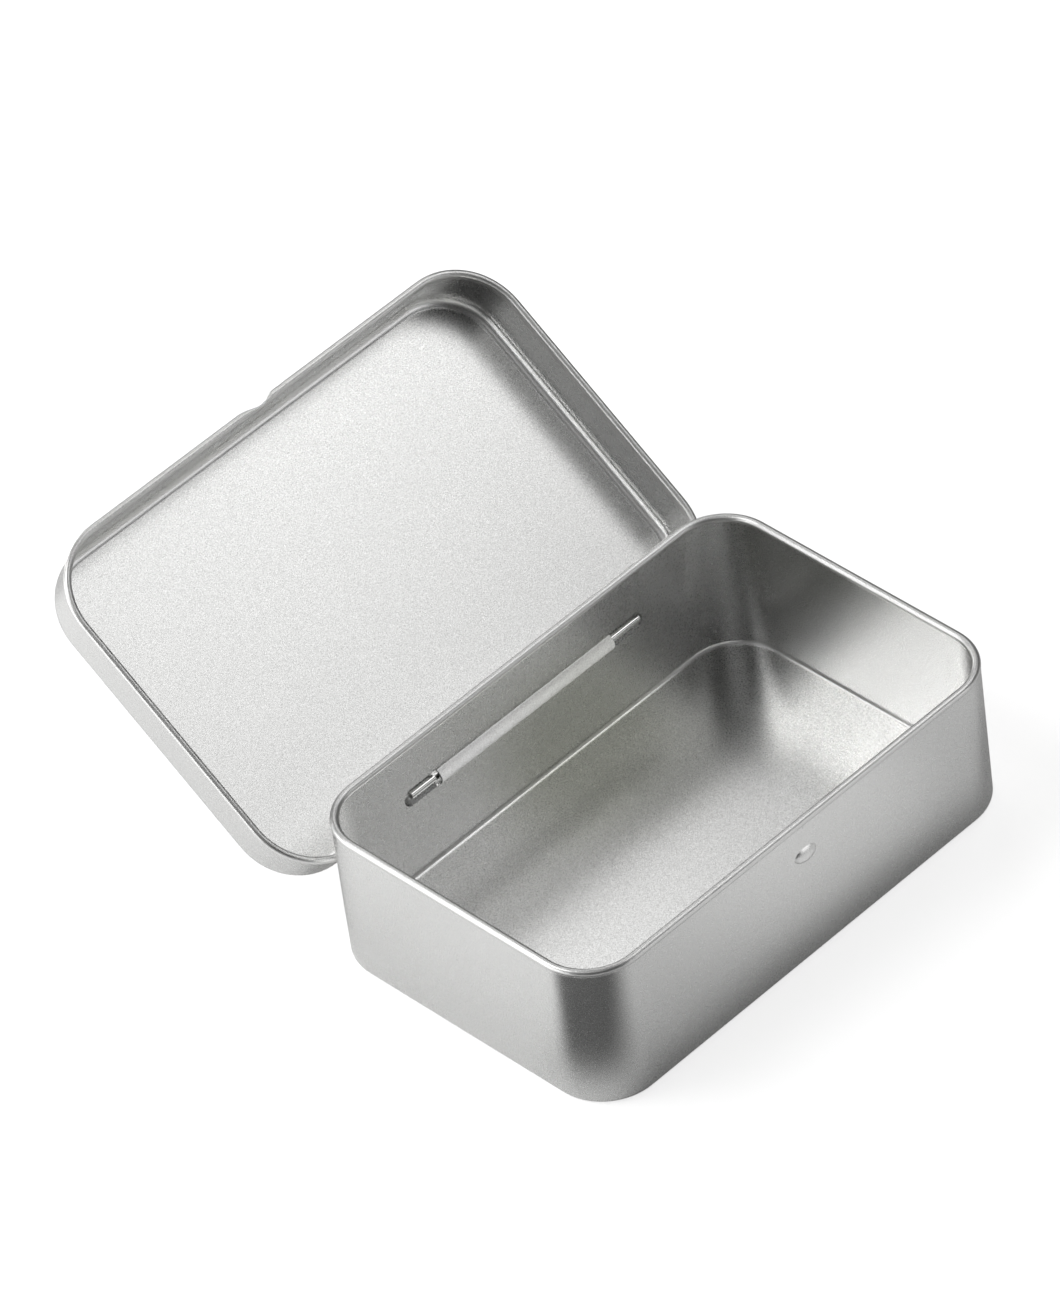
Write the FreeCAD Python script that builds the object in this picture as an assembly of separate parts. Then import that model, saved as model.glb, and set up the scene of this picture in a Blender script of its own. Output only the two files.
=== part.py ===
"""Hinged slip-lid tin: a drawn tinplate tray, a drawn lid and the wire that hinges them.

Millimetres.  The origin is the middle of the tray's underside, +Z is up, the front wall
faces -Y, and the hinge runs along X in the back wall.  The lid is built closed, then turned
back to the angle at which it stands open.
"""
import FreeCAD, Part
import math
import os

# ---- driving dimensions -------------------------------------------------------------------
# Sheet
sheet = 0.28                # tinplate thickness

# Tray, measured over its rim
tray_length = 110.0
tray_width = 72.56
tray_height = 33.05
tray_corner = 11.55         # plan radius of the rim
rim_curl = 0.85             # radius of the edge rolled inward along the rim
rim_overhang = 0.12         # how far the roll stands out past the wall
foot_radius = 1.0           # outer radius between wall and underside
curl_lap = 285.0            # where the rolled edge ends, degrees round from outward

# Lid
bead_radius = 0.75          # radius of the edge rolled outward along the skirt
bead_lap = 110.0            # where the bead's edge ends, degrees past outward
crown_radius = 2.2          # outer radius between skirt and top panel
side_clearance = 0.90       # skirt to rim, each end
rear_clearance = 0.30       # skirt to rim, back
swing_clearance = 0.28      # front skirt to the arc that the rim's front edge describes
corner_growth = 1.31        # skirt's inner corner radius over the rim's
top_clearance = 0.60        # rim to the underside of the closed panel
open_angle = 144.0          # how far the lid turns back

# Hinge
hinge_drop = 13.95          # rim down to the hinge axis
hinge_inset = 0.17          # hinge axis behind the outer face of the back wall
hinge_shift = 0.4           # the pressed hinge sits this far off the middle of the wall
bead_above_hinge = 2.72     # hinge axis up to the lowest line of the closed bead
wire_diameter = 1.4
wire_length = 60.8
wire_slide = 0.7            # the wire has slid this far along its seat
wire_chamfer = 0.1
running_clearance = 0.05    # knuckle on wire, radial
knuckle_half = 22.6         # half the length of the rolled knuckle
knuckle_lap = 290.0         # how far the knuckle wraps round the wire, degrees
bridge_half = 23.0          # half the length of the bridge pressed into the tray
bridge_clearance = 0.42     # knuckle to bridge, radial
bridge_blend = 0.4          # inner radius where the bridge leaves the wall
tab_rise = 0.1              # the knuckle's tab starts this far above the bead
tab_relief = 0.3            # bead cleared past each end of the tab
slit = 0.4                  # lanced gap between bridge and pocket
pocket_reach = 31.6         # from the hinge's middle to the far end of a pocket
pocket_mouth = 1.35         # wire up to the edge of the pocket's mouth
pocket_floor = 0.1          # half width of the pocket's floor over the wire's radius
pocket_seat = 0.03          # wire to the pocket's floor
pocket_rake = 0.2           # how much shorter the floor is than the mouth

# Catch: a bump on the tray, and a notch pressed into the lid's bead that passes over it
bump_half_width = 2.9
bump_half_height = 1.9
bump_depth = 0.8            # semi-axis across the wall
bump_sunk = 0.25            # centre behind the wall's outer face
bump_tilt = 20.0            # the lower end leans out
bump_drop = 7.65            # rim down to the middle of the bump
notch_x = 0.9
notch_half = 6.0
notch_width = 0.6           # bead squeezed down to this
notch_dent = 0.1            # the skirt itself goes in this far
notch_fade = 4.5            # how far up the skirt the dent fades out
notch_left_power = 1.5      # how sharply the left flank rises
notch_right_power = 3.5     # and the right one
notch_stations = 8          # lofted spans along the notch

# ---- places that follow from them ---------------------------------------------------------
half_length = tray_length / 2
half_width = tray_width / 2
wall_outer = half_width - rim_overhang
wall_inner = wall_outer - sheet
wire_radius = wire_diameter / 2

hinge_y = wall_outer + hinge_inset
hinge_z = tray_height - hinge_drop
swing_radius = math.hypot(hinge_y + half_width - rim_curl, hinge_drop - rim_curl) + rim_curl

skirt_front = swing_radius + swing_clearance - hinge_y
skirt_back = half_width + rear_clearance
skirt_corner = tray_corner + corner_growth
bead_reach = 2 * bead_radius
lid_half_length = half_length + side_clearance + bead_reach
lid_front = skirt_front + bead_reach
lid_back = skirt_back + bead_reach
lid_corner = skirt_corner + bead_reach
lid_top = tray_height + top_clearance + sheet
bead_low = hinge_z + bead_above_hinge
bead_centre = bead_low + bead_radius

knuckle_inner = wire_radius + running_clearance
knuckle_outer = knuckle_inner + sheet
bridge_inner = knuckle_outer + bridge_clearance
bridge_outer = bridge_inner + sheet


# ---- outlines -----------------------------------------------------------------------------
def vec(x, y, z):
    return FreeCAD.Vector(x, y, z)


def polar(centre, radius, degrees):
    """A point (across, up) on a circle."""
    angle = math.radians(degrees)
    return (centre[0] + radius * math.cos(angle), centre[1] + radius * math.sin(angle))


class Outline:
    """A closed outline of lines and arcs in a plane, drawn from point to point."""

    def __init__(self, start, place):
        self.place = place
        self.start = start
        self.at = start
        self.edges = []

    def line(self, point):
        self.edges.append(Part.makeLine(self.place(*self.at), self.place(*point)))
        self.at = point
        return self

    def arc(self, centre, radius, first, last):
        middle = self.place(*polar(centre, radius, (first + last) / 2))
        end = polar(centre, radius, last)
        self.edges.append(Part.Arc(self.place(*self.at), middle, self.place(*end)).toShape())
        self.at = end
        return self

    def wire(self):
        self.line(self.start)
        return Part.Wire(self.edges)

    def face(self):
        return Part.Face(self.wire())


def upright(across, up):
    """A wall's section stands in the XZ plane, with the corner's axis at zero."""
    return vec(across, 0, up)


def at_hinge(across, up):
    """A hinge section stands in the YZ plane, measured from the hinge axis."""
    return vec(0, hinge_y + across, hinge_z + up)


# ---- a drawn shell: one section carried round a rounded rectangle --------------------------
def drawn_shell(section, corner, half_x, front, back, panel_low):
    """Fuse four straight walls, four corners and the flat panel between the corner axes."""
    x = half_x - corner
    y_front = corner - front
    y_back = back - corner
    shell = Part.makeBox(2 * x, y_back - y_front, sheet, vec(-x, y_front, panel_low))
    axes = [vec(x, y_back, 0), vec(-x, y_back, 0), vec(-x, y_front, 0), vec(x, y_front, 0)]
    pieces = []
    for index, axis in enumerate(axes):
        face = section.copy()
        face.rotate(vec(0, 0, 0), vec(0, 0, 1), 90 * index)
        face.translate(axis)
        pieces.append(face.revolve(axis, vec(0, 0, 1), 90))
        pieces.append(face.extrude(axes[index - 1] - axis))
    return shell.fuse(pieces).removeSplitter()


def tray_section():
    """Underside, foot radius, wall, and the edge rolled inward at the top."""
    outer = tray_corner - rim_overhang
    inner = outer - sheet
    foot = (outer - foot_radius, foot_radius)
    roll = (tray_corner - rim_curl, tray_height - rim_curl)
    hollow = rim_curl - sheet
    meets_outer = -math.degrees(math.acos((outer - roll[0]) / rim_curl))
    meets_inner = -math.degrees(math.acos((inner - roll[0]) / hollow))
    outline = Outline((0, 0), upright)
    outline.line((foot[0], 0)).arc(foot, foot_radius, -90, 0)
    outline.line(polar(roll, rim_curl, meets_outer)).arc(roll, rim_curl, meets_outer, curl_lap)
    outline.line(polar(roll, hollow, curl_lap)).arc(roll, hollow, curl_lap, meets_inner)
    outline.line((inner, foot_radius)).arc(foot, foot_radius - sheet, 0, -90)
    return outline.line((0, sheet)).face()


def lid_section():
    """Top panel, crown radius, skirt, and the edge rolled outward at the bottom."""
    outer = skirt_corner + sheet
    crown = (outer - crown_radius, lid_top - crown_radius)
    roll = (skirt_corner + bead_radius, bead_centre)
    hollow = bead_radius - sheet
    outline = Outline((0, lid_top), upright)
    outline.line((crown[0], lid_top)).arc(crown, crown_radius, 90, 0)
    outline.line((outer, bead_centre)).arc(roll, hollow, 180, 360 + bead_lap)
    outline.line(polar(roll, bead_radius, bead_lap)).arc(roll, bead_radius, 360 + bead_lap, 180)
    outline.line((skirt_corner, crown[1])).arc(crown, crown_radius - sheet, 0, 90)
    return outline.line((0, lid_top - sheet)).face()


# ---- what is pressed into the tray's back wall ---------------------------------------------
def along(face, half):
    """Extrude a hinge section over the hinge's middle, half to each side."""
    body = face.extrude(vec(2 * half, 0, 0))
    body.translate(vec(hinge_shift - half, 0, 0))
    return body


def bridge_lip():
    """Centre of the blend between bridge and wall, above the hinge axis."""
    across = wall_inner - hinge_y - bridge_blend
    return across, math.sqrt((bridge_outer + bridge_blend) ** 2 - across ** 2)


def bridge():
    """A half-round channel over the wire, blended into the wall above and below."""
    across, rise = bridge_lip()
    lip = math.degrees(math.atan2(rise, across))
    wide = bridge_blend + sheet
    outline = Outline((wall_inner - hinge_y, rise), at_hinge)
    outline.arc((across, rise), bridge_blend, 0, lip - 180)
    outline.arc((0, 0), bridge_outer, lip, 360 - lip)
    outline.arc((across, -rise), bridge_blend, 180 - lip, 0)
    outline.line((wall_outer - hinge_y, -rise))
    outline.arc((across, -rise), wide, 0, 180 - lip)
    outline.arc((0, 0), bridge_inner, 360 - lip, lip)
    outline.arc((across, rise), wide, lip - 180, 0)
    return along(outline.face(), bridge_half)


def wall_window(half, rise):
    """A block through the back wall, as wide and high as the pressing that fills it."""
    low = vec(hinge_shift - half, wall_inner, hinge_z - rise)
    return Part.makeBox(2 * half, sheet, 2 * rise, low)


def pocket_plan(y, start, reach, half):
    """Outline of a pocket in the plane at y: square at the bridge, round at the far end."""
    def plan(along_x, up):
        return vec(hinge_shift + along_x, y, hinge_z + up)

    outline = Outline((start, -half), plan)
    outline.line((reach - half, -half)).arc((reach - half, 0), half, -90, 90)
    return outline.line((start, half)).wire()


def pocket_body(start, y_mouth, y_floor, grow, skin):
    """A tapering trough along the wire, its sides offset by the sheet where skin is set."""
    mouth = wire_radius + pocket_mouth
    floor = wire_radius + pocket_floor
    depth = hinge_y + wire_radius + pocket_seat - wall_inner
    side = (mouth - floor) / depth
    rake = pocket_rake / depth
    side_skin = skin * math.hypot(1, side)
    rake_skin = skin * math.hypot(1, rake)

    def plan(y):
        back = y - wall_inner
        half = mouth - side * back + side_skin
        return pocket_plan(y, start, pocket_reach - rake * back + rake_skin, half)

    return Part.makeLoft([plan(y_mouth), plan(y_floor + grow)], True, True)


def both_ends(body):
    """A pressing and its mirror image about the hinge's middle."""
    return body, body.mirror(vec(hinge_shift, 0, 0), vec(1, 0, 0))


def add_hinge_seat(tray):
    """Bridge, lanced slits and the two pockets that hold the wire's ends."""
    tray = tray.cut(wall_window(bridge_half, bridge_lip()[1])).fuse(bridge())
    lance = wall_window(bridge_half + slit, wire_radius + pocket_mouth)
    tray = tray.cut(lance.cut(wall_window(bridge_half, tray_height)))
    floor = hinge_y + wire_radius + pocket_seat
    start = bridge_half + slit
    skin = pocket_body(start, wall_inner, floor, sheet, sheet)
    hollow = pocket_body(start - slit / 2, wall_inner - sheet, floor, 0, 0)
    return tray.fuse(both_ends(skin)).cut(both_ends(hollow))


# ---- the catch -----------------------------------------------------------------------------
def egg(skin):
    """The bump's egg shape, leaning out at its lower end, or its hollow one skin inside."""
    ball = Part.makeSphere(1)
    stretch = FreeCAD.Matrix()
    stretch.scale(bump_half_width - skin, bump_half_height - skin, bump_depth - skin)
    body = ball.transformGeometry(stretch)
    body.rotate(vec(0, 0, 0), vec(1, 0, 0), 90 - bump_tilt)
    body.translate(vec(0, bump_sunk - wall_outer, tray_height - bump_drop))
    return body


def add_bump(tray):
    inside = Part.makeBox(tray_length, wall_inner, tray_height, vec(-half_length, -wall_inner, 0))
    return tray.fuse(egg(0).cut(inside)).cut(egg(sheet))


def notch_section(x, squeeze):
    """Lower front skirt and bead at x, the bead squeezed flat by a share from 0 to 1."""
    wide = bead_radius - squeeze * (bead_radius - notch_width / 2)
    inner = skirt_front - squeeze * notch_dent
    middle = inner + wide
    top = bead_centre + notch_fade

    def place(across, up):
        return vec(x, -across, up)

    roll = Part.Ellipse(place(middle, bead_low), place(middle + wide, bead_centre),
                        place(middle, bead_centre))
    lap = math.acos((sheet - wide) / wide)
    corners = [place(inner + sheet, bead_centre + bead_radius * math.sin(lap)),
               place(skirt_front + sheet, top),
               place(skirt_front, top),
               place(inner, bead_centre)]
    edges = [Part.Arc(roll, -math.pi / 2, lap + math.pi / 2).toShape()]
    edges += [Part.makeLine(a, b) for a, b in zip(corners, corners[1:])]
    return Part.Wire(edges)


def add_notch(lid):
    """Replace a stretch of the front bead by one lofted through squeezed sections."""
    sections = []
    for station in range(notch_stations + 1):
        share = 2 * station / notch_stations - 1
        power = notch_left_power if share < 0 else notch_right_power
        squeeze = (0.5 + 0.5 * math.cos(math.pi * share)) ** power
        sections.append(notch_section(notch_x + share * notch_half, squeeze))
    room = Part.makeBox(2 * notch_half, 2 * bead_reach, bead_radius + notch_fade,
                        vec(notch_x - notch_half, -lid_front - bead_reach / 2, bead_low))
    return lid.cut(room).fuse(Part.makeLoft(sections, True, False))


# ---- the lid's hinge knuckle ---------------------------------------------------------------
def tangent_angle(corner, radius):
    """Where a straight line from the corner touches the circle round the wire, outer side."""
    steep = math.atan2(corner[1], corner[0]) - math.acos(radius / math.hypot(*corner))
    return math.degrees(steep)


def add_knuckle(lid):
    """The back skirt runs on below the bead line and is wrapped round the wire."""
    tab_top = bead_low + bead_reach + tab_rise
    half = knuckle_half + tab_relief
    room = Part.makeBox(2 * half, 2 * bead_reach, tab_top - bead_low,
                        vec(hinge_shift - half, skirt_back - bead_reach / 2, bead_low))
    near = (skirt_back - hinge_y, tab_top - hinge_z)
    far = (near[0] + sheet, near[1])
    touch_near = tangent_angle(near, knuckle_inner)
    touch_far = tangent_angle(far, knuckle_outer)
    end = touch_near - knuckle_lap
    outline = Outline(near, at_hinge)
    outline.line(polar((0, 0), knuckle_inner, touch_near))
    outline.arc((0, 0), knuckle_inner, touch_near, end)
    outline.line(polar((0, 0), knuckle_outer, end))
    outline.arc((0, 0), knuckle_outer, end, touch_far)
    outline.line(far)
    return lid.cut(room).fuse(along(outline.face(), knuckle_half))


# ---- the pieces ----------------------------------------------------------------------------
def make_tray():
    shell = drawn_shell(tray_section(), tray_corner, half_length, half_width, half_width, 0)
    return add_bump(add_hinge_seat(shell))


def make_lid():
    shell = drawn_shell(lid_section(), lid_corner, lid_half_length, lid_front, lid_back,
                        lid_top - sheet)
    lid = add_knuckle(add_notch(shell))
    lid.rotate(vec(0, hinge_y, hinge_z), vec(1, 0, 0), -open_angle)
    return lid


def make_wire():
    start = hinge_shift + wire_slide - wire_length / 2
    wire = Part.makeCylinder(wire_radius, wire_length, vec(start, hinge_y, hinge_z), vec(1, 0, 0))
    ends = [edge for edge in wire.Edges if len(edge.Vertexes) == 1]
    return wire.makeChamfer(wire_chamfer, ends)


def one_solid(shape):
    """The single solid of a fused shape."""
    solids = shape.Solids
    if len(solids) != 1:
        raise ValueError("expected one solid, found %d" % len(solids))
    return solids[0]


def main():
    os.makedirs("parts", exist_ok=True)
    for name, make in (("tray", make_tray), ("lid", make_lid), ("hinge_wire", make_wire)):
        one_solid(make()).exportStep("parts/%s.step" % name)


main()
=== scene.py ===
"""A hinged slip-lid tin in bare satin tinplate, standing open on a plain white table."""
import bpy
import math
from mathutils import Matrix, Vector

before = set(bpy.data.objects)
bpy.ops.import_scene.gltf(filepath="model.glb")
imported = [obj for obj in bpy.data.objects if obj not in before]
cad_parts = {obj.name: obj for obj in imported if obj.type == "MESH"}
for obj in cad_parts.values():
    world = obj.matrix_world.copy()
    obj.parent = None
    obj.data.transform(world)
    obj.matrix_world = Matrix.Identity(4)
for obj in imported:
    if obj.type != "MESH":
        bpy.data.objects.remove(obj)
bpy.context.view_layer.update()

# Lengths are in metres and angles in degrees. Azimuths go round from straight in front of the
# tin, to its right first. A soft step is a pair: where it starts and where it ends.

# Camera: where it stands round the tin and how it is framed
CAMERA_AZIMUTH = -40.44
CAMERA_ELEVATION = 42.23
CAMERA_ROLL = -8.12
CAMERA_DISTANCE = 1.78204
CAMERA_ASIDE = -0.02633
CAMERA_ABOVE = 0.03899
CAMERA_SENSOR = 36.0
CAMERA_LENS = 266.29
CAMERA_REACH = 20.0

# The tin's own sizes
LID_SLOPE = 36.0
LID_PANEL_LEVEL = -0.02046
LID_RIM_LEVEL = 0.0103
TRAY_FLOOR_LEVEL = 0.00028
TRAY_RIM_LEVEL = 0.0320
RIM_STEP = 0.0004
CREASE_EDGE = (0.0008, 0.0012)
CREASE_FOOT = (-0.0001, 0.0)
CREASE_LEAVES_WALL = (0.05, 0.2)
CREASE_MEETS_PANEL = (0.97, 0.995)
PANEL_FACING = (0.7, 0.95)
HINGE_HEIGHT = 0.0191
BACK_WALL = 0.03
FRONT_WALL = -0.0363
FRONT_CORNER_CENTRE = (-0.04345, -0.02473)

# Tinplate: a stone-rolled grain, with slow clouds in it
TIN_COLOUR = (0.85, 0.85, 0.84)
TIN_ROUGHNESS = 0.28
GRAIN_SIZE = 0.00030
GRAIN_HEIGHT = 0.0000028
GRAIN_DETAIL = 1.0
GRAIN_FINENESS = 0.6
GRAIN_GLOSS = 0.10
GRAIN_ON_WALLS = 0.2
SPECKLE_FINENESS = 1.6
SPECKLE_TONE = 0.75
CLOUD_SCALE = 55.0
CLOUD_DETAIL = 4.0
CLOUD_TONE = 0.03
CLOUD_GLOSS = 0.03
# Painted highlight: the tin's colour is made brighter along the crease round the panel
CREASE_PAINTED_HIGHLIGHT = 0.12
CREASE_ROUGHNESS = 0.08
RIM_ROUGHNESS = 0.13

# The strip of the back wall that is pressed flat over the wire, seen from inside the tray
STRIP_HALF_LENGTH = 0.0234
STRIP_TOP_EDGE = (0.00168, 0.00192)
STRIP_BOTTOM_EDGE = (-0.0012, -0.00096)
STRIP_INSIDE = (-0.3, -0.1)
STRIP_FACE = (0.0, -0.816, 0.577)
STRIP_LEAN = 0.9
STRIP_ROUGHNESS = 0.04

# Wear on the tray: a faint stain by the hinge, and scuffs with a place and a radius each
STAIN_COLOUR = (0.67, 0.677, 0.635)
STAIN_CENTRE = (0.014, 0.032, 0.004)
STAIN_EDGE = (0.008, 0.032)
SCUFF_TONE = 0.28
SCUFF_SOFTNESS = 1.6
SCUFFS = [
    ((-0.0549, 0.0080, 0.0026), 0.0002),
    ((-0.0549, -0.0008, 0.0194), 0.0002),
    ((-0.0469, -0.0356, 0.0085), 0.0002),
    ((0.0001, -0.0362, 0.0314), 0.0003),
]

# Hinge wire: drawn steel, with lines along its length
WIRE_COLOUR = (0.83, 0.83, 0.82, 1.0)
WIRE_ROUGHNESS = 0.05
WIRE_LINE_GLOSS = 0.08
WIRE_LINE_SCALE = (150.0, 6000.0, 6000.0)
WIRE_LINE_DETAIL = 2.0
WIRE_LINE_HEIGHT = 0.00001
WIRE_LINE_STRENGTH = 0.2

# Studio: softboxes stand round the tin, named by where they are. Each has its azimuth, its
# elevation, its width and height, and its brightness.
SOFTBOX_DISTANCE = 0.7
SOFTBOXES = {
    "high_right": (92, 58, 0.28, 0.28, 1.85),
    "high_front_right": (53, 57, 0.37, 0.30, 1.06),
    "high_back_left": (-135, 58, 0.28, 0.28, 4.0),
    "high_left": (-115, 56, 0.26, 0.28, 0.8),
    "high_front_left": (-46, 63, 0.28, 0.20, 0.65),
    "back_right": (148, 44, 0.26, 0.42, 1.15),
    "back_left_strip": (-134, 30, 0.24, 0.08, 1.5),
    "low_front_right": (30, 14, 0.36, 0.28, 1.3),
    "low_left": (-120, 14, 0.90, 0.28, 2.6),
    "low_back": (180, 14, 0.30, 0.28, 3.7),
}
ROOM_GLOW = 0.02

# Table: a white sheet, which glows for the camera, and less so in the tin's reflections
TABLE_HALF = 3.0
TABLE_LEVEL = -0.00002
TABLE_WHITE = 0.75
TABLE_GLOW = 0.70
MIRRORED_GLOW = 0.17
LEFT_GLOW = 0.18
LEFT_GLOW_EDGE = (-0.075, -0.050)
RIGHT_GLOW = 0.17
RIGHT_GLOW_START = (-0.030, 0.015)
RIGHT_GLOW_END = (0.034, 0.060)
RIGHT_GLOW_FOOT = (0.0, 0.016)
FOOT_SHADE_DEPTH = (0.0, 0.010)
FOOT_SHADE_START = (-0.055, -0.045)

# Painted shade: a dark wedge painted on the table before the front corner, seen only in
# reflections
SHADE_WEDGE_AZIMUTH = -40.44
SHADE_WEDGE_DARKNESS = 0.87
SHADE_WEDGE_SKEW = 0.82
SHADE_WEDGE_SPREAD = 1.75
SHADE_WEDGE_SIDE_EDGE = (-0.028, 0.020)
SHADE_WEDGE_NEAR_EDGE = (0.010, 0.026)
SHADE_WEDGE_FAR_EDGE = (0.075, 0.110)


class Signal:
    """A socket in a shader tree, on which Python's operators add Math nodes."""

    def __init__(self, tree, socket=None):
        self.tree = tree
        self.socket = socket

    def node(self, kind, settings=None, sockets=None, output=0):
        """Add a node: its settings first, then the values or links of its sockets."""
        made = self.tree.nodes.new("ShaderNode" + kind)
        for name, value in (settings or {}).items():
            setattr(made, name, value)
        for name, value in (sockets or {}).items():
            if isinstance(value, Signal):
                self.tree.links.new(value.socket, made.inputs[name])
            else:
                made.inputs[name].default_value = value
        return Signal(self.tree, made.outputs[output]) if made.outputs else None

    def math(self, operation, *values):
        return self.node("Math", {"operation": operation}, dict(enumerate(values)))

    def axis(self, vector, index):
        """One of a vector's three numbers: 0 is east, 1 is north and 2 is up."""
        return self.node("SeparateXYZ", sockets={0: vector}, output=index)

    def dot(self, first, second):
        return self.node("VectorMath", {"operation": "DOT_PRODUCT"}, {0: first, 1: second},
                         output="Value")

    def distance(self, first, second):
        return self.node("VectorMath", {"operation": "DISTANCE"}, {0: first, 1: second},
                         output="Value")

    def mix(self, share, first, second):
        """From the first vector at share 0 to the second one at share 1."""
        return self.node("Mix", {"data_type": "VECTOR"}, {0: share, 4: first, 5: second},
                         output=1)

    def rise(self, value, step):
        """A soft step up, from 0 where it starts to 1 where it ends."""
        return self.node("MapRange", {"interpolation_type": "SMOOTHSTEP"},
                         {"Value": value, "From Min": step[0], "From Max": step[1]})

    def fall(self, value, step):
        """A soft step down, from 1 where it starts to 0 where it ends."""
        return 1 - self.rise(value, step)

    def __add__(self, other):
        return self.math("ADD", self, other)

    def __radd__(self, other):
        return self.math("ADD", other, self)

    def __sub__(self, other):
        return self.math("SUBTRACT", self, other)

    def __rsub__(self, other):
        return self.math("SUBTRACT", other, self)

    def __mul__(self, other):
        return self.math("MULTIPLY", self, other)

    def __rmul__(self, other):
        return self.math("MULTIPLY", other, self)


def new_material(name):
    material = bpy.data.materials.new(name)
    material.use_nodes = True
    material.node_tree.nodes.clear()
    return material, Signal(material.node_tree)


def finish_material(shader, surface):
    shader.node("OutputMaterial", sockets={"Surface": surface})


def heading(azimuth, elevation):
    """The direction at an azimuth round from the front and an elevation."""
    turn = math.radians(azimuth)
    rise = math.radians(elevation)
    return Vector((math.sin(turn) * math.cos(rise), -math.cos(turn) * math.cos(rise),
                   math.sin(rise)))


# ---- metals --------------------------------------------------------------------------------
def pressed_strip(shader, place):
    """Picks out the strip over the wire, between its two lanced ends, on the tray's inside."""
    aside = shader.math("ABSOLUTE", shader.axis(place, 0))
    height = shader.axis(place, 2) - HINGE_HEIGHT
    inward = shader.dot(shader.node("TexCoord", output="Normal"), (0, -1, 0))
    return (shader.math("LESS_THAN", aside, STRIP_HALF_LENGTH)
            * shader.math("GREATER_THAN", shader.axis(place, 1), BACK_WALL)
            * shader.rise(inward, STRIP_INSIDE)
            * shader.rise(height, STRIP_BOTTOM_EDGE) * shader.fall(height, STRIP_TOP_EDGE))


def scuff_marks(shader, place, grain):
    """Small dark spots, whose outlines the grain makes uneven."""
    marks = 0
    for centre, radius in SCUFFS:
        away = shader.distance(place, centre) + grain * radius
        marks = shader.fall(away, (radius, radius * SCUFF_SOFTNESS)) + marks
    return marks


def tinplate(name, flat_normal, floor_level, rim_level, is_tray=False):
    """Satin tinplate: a fine stone-rolled grain over a softly mirroring tin coat.

    The grain is full on the flat panel, which faces flat_normal at the height floor_level, and
    fainter on the drawn walls. The crease round the panel is a little rougher, and its colour
    carries a painted highlight. The rolled edge, rim_level above the panel, is a little
    duller.
    The tray also has the strip that is pressed over the wire, and the wear.
    """
    material, shader = new_material(name)
    place = shader.node("TexCoord", output="Object")
    facing = shader.dot(shader.node("TexCoord", output="Normal"), flat_normal)
    level = shader.dot(place, flat_normal) - floor_level
    flat = shader.rise(shader.math("ABSOLUTE", facing), PANEL_FACING)
    crease = (shader.rise(facing, CREASE_LEAVES_WALL) * shader.fall(facing, CREASE_MEETS_PANEL)
              * shader.fall(level, CREASE_EDGE) * shader.rise(level, CREASE_FOOT))
    rim = shader.rise(level, (rim_level - RIM_STEP, rim_level))
    grain = shader.node("TexNoise", sockets={"Vector": place, "Scale": 1 / GRAIN_SIZE,
                                             "Detail": GRAIN_DETAIL,
                                             "Roughness": GRAIN_FINENESS})
    speckle = shader.node("TexNoise", sockets={"Vector": place, "Detail": 0.0,
                                               "Scale": SPECKLE_FINENESS / GRAIN_SIZE})
    cloud = shader.node("TexNoise", sockets={"Vector": place, "Scale": CLOUD_SCALE,
                                             "Detail": CLOUD_DETAIL})
    face = shader.node("NewGeometry", output="Normal")
    rough = (TIN_ROUGHNESS + (grain - 0.5) * GRAIN_GLOSS + (cloud - 0.5) * CLOUD_GLOSS
             + crease * CREASE_ROUGHNESS + rim * RIM_ROUGHNESS)
    hue = TIN_COLOUR
    wear = 0
    if is_tray:
        strip = pressed_strip(shader, place)
        flat = shader.math("MAXIMUM", flat, strip)
        face = shader.mix(strip * STRIP_LEAN, face, STRIP_FACE)
        rough = rough + strip * STRIP_ROUGHNESS
        hue = shader.mix(shader.fall(shader.distance(place, STAIN_CENTRE), STAIN_EDGE),
                         TIN_COLOUR, STAIN_COLOUR)
        wear = scuff_marks(shader, place, grain) * SCUFF_TONE
    share = GRAIN_ON_WALLS + flat * (1 - GRAIN_ON_WALLS)
    # The crease term is a painted highlight in the colour. Speckle, clouds and scuffs are the
    # tin's own tone
    bright = (1 + (speckle - 0.5) * SPECKLE_TONE * share + (cloud - 0.5) * CLOUD_TONE
              + crease * CREASE_PAINTED_HIGHLIGHT - wear)
    colour = shader.node("VectorMath", {"operation": "SCALE"}, {0: hue, "Scale": bright},
                         output="Vector")
    bump = shader.node("Bump", sockets={"Height": grain * share, "Strength": 1.0,
                                        "Distance": GRAIN_HEIGHT, "Normal": face})
    surface = shader.node("BsdfPrincipled", sockets={
        "Base Color": colour, "Metallic": 1.0, "Roughness": rough, "Normal": bump})
    finish_material(shader, surface)
    return material


def bright_wire():
    """Drawn steel wire: nearly a mirror, with faint lines along its length."""
    material, shader = new_material("bright_wire")
    place = shader.node("TexCoord", output="Object")
    drawn = shader.node("Mapping", sockets={"Vector": place, "Scale": WIRE_LINE_SCALE})
    lines = shader.node("TexNoise", sockets={"Vector": drawn, "Scale": 1.0,
                                             "Detail": WIRE_LINE_DETAIL})
    bump = shader.node("Bump", sockets={"Height": lines, "Strength": WIRE_LINE_STRENGTH,
                                        "Distance": WIRE_LINE_HEIGHT})
    surface = shader.node("BsdfPrincipled", sockets={
        "Base Color": WIRE_COLOUR, "Metallic": 1.0,
        "Roughness": WIRE_ROUGHNESS + lines * WIRE_LINE_GLOSS, "Normal": bump})
    finish_material(shader, surface)
    return material


# ---- studio --------------------------------------------------------------------------------
def studio_world():
    """A dim grey room, which the camera sees as white."""
    world = bpy.data.worlds.new("studio")
    bpy.context.scene.world = world
    world.use_nodes = True
    world.node_tree.nodes.clear()
    shader = Signal(world.node_tree)
    camera = shader.node("LightPath", output="Is Camera Ray")
    background = shader.node("Background",
                             sockets={"Strength": ROOM_GLOW + camera * (1 - ROOM_GLOW)})
    shader.node("OutputWorld", sockets={"Surface": background})


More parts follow.
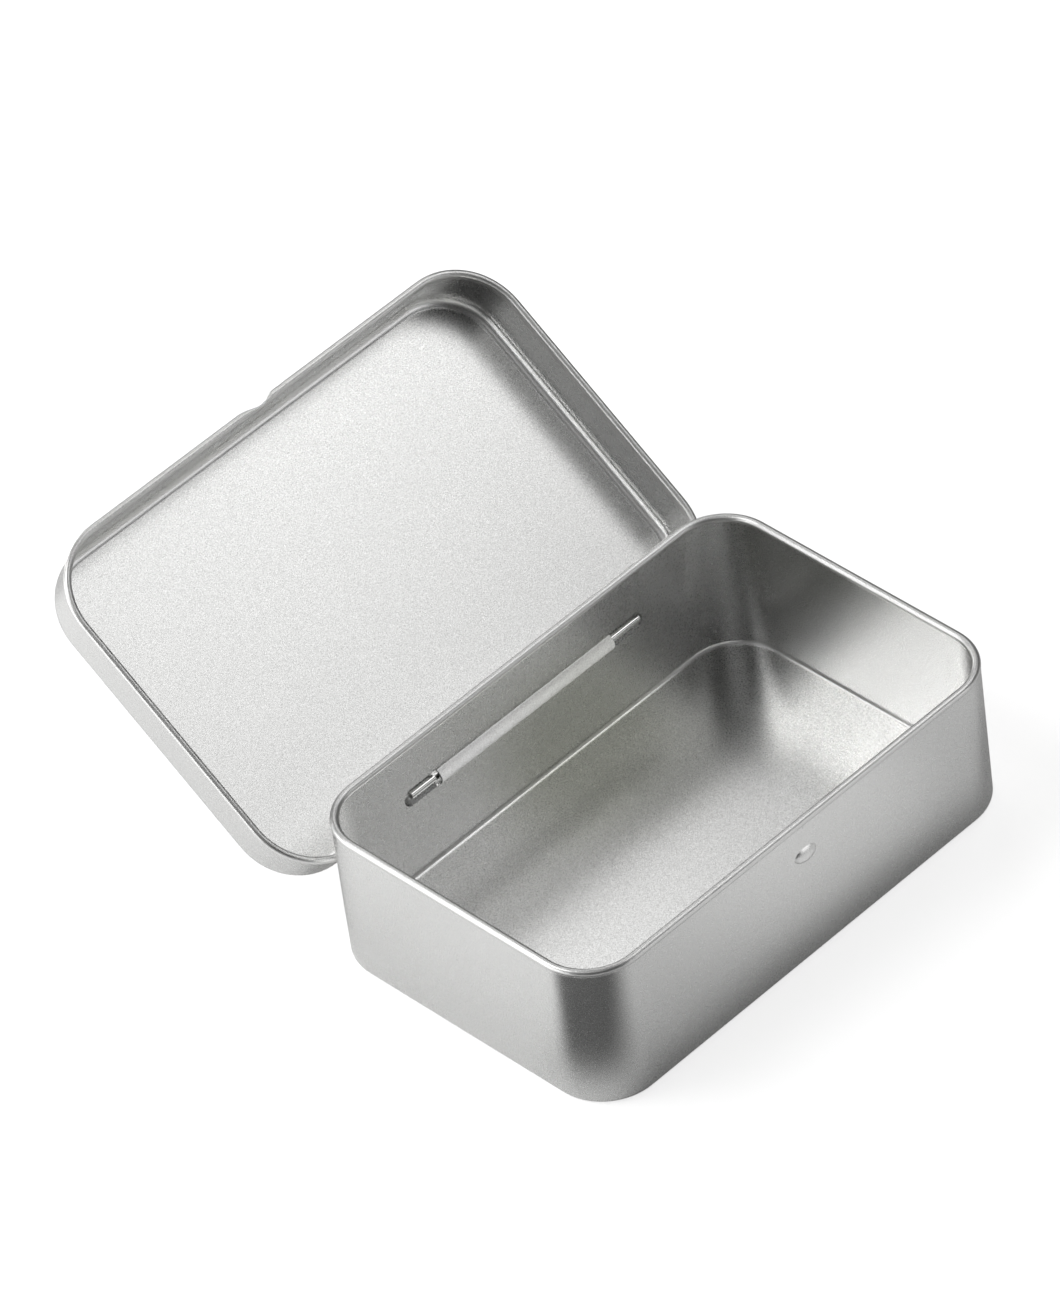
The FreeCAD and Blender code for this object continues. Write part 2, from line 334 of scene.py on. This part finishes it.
def softbox(name, azimuth, elevation, width, height, brightness):
    """A rectangular lamp that faces the tin."""
    data = bpy.data.lights.new(name, "AREA")
    data.shape = "RECTANGLE"
    data.size = width
    data.size_y = height
    data.energy = math.pi * width * height * brightness
    lamp = bpy.data.objects.new(name, data)
    away = heading(azimuth, elevation)
    lamp.location = away * SOFTBOX_DISTANCE
    lamp.rotation_euler = away.to_track_quat("Z", "Y").to_euler()
    bpy.context.scene.collection.objects.link(lamp)


def painted_shade_wedge(shader, place):
    """Picks out the wedge of painted shade, which opens away from the tin's front corner."""
    east = shader.axis(place, 0) - FRONT_CORNER_CENTRE[0]
    north = shader.axis(place, 1) - FRONT_CORNER_CENTRE[1]
    ahead = heading(SHADE_WEDGE_AZIMUTH, 0)
    along = east * ahead.x + north * ahead.y
    across = shader.math("ABSOLUTE", north * ahead.x - east * ahead.y + along * SHADE_WEDGE_SKEW)
    away = shader.math("SQRT", east * east + north * north)
    return (shader.fall(across - along * SHADE_WEDGE_SPREAD, SHADE_WEDGE_SIDE_EDGE)
            * shader.rise(away, SHADE_WEDGE_NEAR_EDGE) * shader.fall(away, SHADE_WEDGE_FAR_EDGE))


def mirrored_glow(shader, place):
    """How the table glows in reflections.

    It glows more at the left and before the right half of the front wall, and not at the foot
    of that wall.
    """
    east = shader.axis(place, 0)
    before = FRONT_WALL - shader.axis(place, 1)
    left = shader.fall(east, LEFT_GLOW_EDGE)
    right = (shader.rise(east, RIGHT_GLOW_START) * shader.fall(east, RIGHT_GLOW_END)
             * shader.rise(before, RIGHT_GLOW_FOOT))
    foot = shader.fall(before, FOOT_SHADE_DEPTH) * shader.rise(east, FOOT_SHADE_START)
    return (MIRRORED_GLOW + left * LEFT_GLOW + right * RIGHT_GLOW) * (1 - foot)


def table_material():
    material, shader = new_material("white_table")
    place = shader.node("TexCoord", output="Object")
    camera = shader.node("LightPath", output="Is Camera Ray")
    mirrored = shader.node("LightPath", output="Is Glossy Ray")
    # Painted shade: for every ray but the camera's, the table's colour and glow are darkened
    # in the wedge, so the front corner mirrors a dark patch
    clear = 1 - painted_shade_wedge(shader, place) * (1 - camera) * SHADE_WEDGE_DARKNESS
    white = TABLE_WHITE * clear
    colour = shader.node("CombineColor", sockets={0: white, 1: white, 2: white})
    diffuse = shader.node("BsdfDiffuse", sockets={"Color": colour})
    shine = mirrored_glow(shader, place) * mirrored * clear
    glow = shader.node("Emission", sockets={"Strength": camera * TABLE_GLOW + shine})
    finish_material(shader, shader.node("AddShader", sockets={0: diffuse, 1: glow}))
    return material


def make_table():
    mesh = bpy.data.meshes.new("table")
    corners = [(-TABLE_HALF, -TABLE_HALF, 0), (TABLE_HALF, -TABLE_HALF, 0),
               (TABLE_HALF, TABLE_HALF, 0), (-TABLE_HALF, TABLE_HALF, 0)]
    mesh.from_pydata(corners, [], [(0, 1, 2, 3)])
    table = bpy.data.objects.new("table", mesh)
    table.location.z = TABLE_LEVEL
    bpy.context.scene.collection.objects.link(table)
    mesh.materials.append(table_material())


def make_camera():
    roll = math.radians(CAMERA_ROLL)
    back = heading(CAMERA_AZIMUTH, CAMERA_ELEVATION)
    level = heading(CAMERA_AZIMUTH + 90, 0)
    upright = back.cross(level)
    right = math.cos(roll) * level + math.sin(roll) * upright
    up = back.cross(right)
    data = bpy.data.cameras.new("camera")
    data.sensor_width = CAMERA_SENSOR
    data.lens = CAMERA_LENS
    data.clip_end = CAMERA_REACH
    camera = bpy.data.objects.new("camera", data)
    where = back * CAMERA_DISTANCE + right * CAMERA_ASIDE + up * CAMERA_ABOVE
    turned = Matrix((right, up, back)).transposed().to_4x4()
    camera.matrix_world = Matrix.Translation(where) @ turned
    bpy.context.scene.collection.objects.link(camera)
    bpy.context.scene.camera = camera


def dress(node, material):
    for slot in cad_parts[node].material_slots:
        slot.material = material


dress("tray", tinplate("tray_tin", (0, 0, 1), TRAY_FLOOR_LEVEL, TRAY_RIM_LEVEL, is_tray=True))
dress("lid", tinplate("lid_tin", tuple(heading(0, 90 - LID_SLOPE)), LID_PANEL_LEVEL,
                      LID_RIM_LEVEL))
dress("hinge_wire", bright_wire())
studio_world()
for name, settings in SOFTBOXES.items():
    softbox(name, *settings)
make_table()
make_camera()
bpy.context.scene.view_settings.view_transform = "Standard"
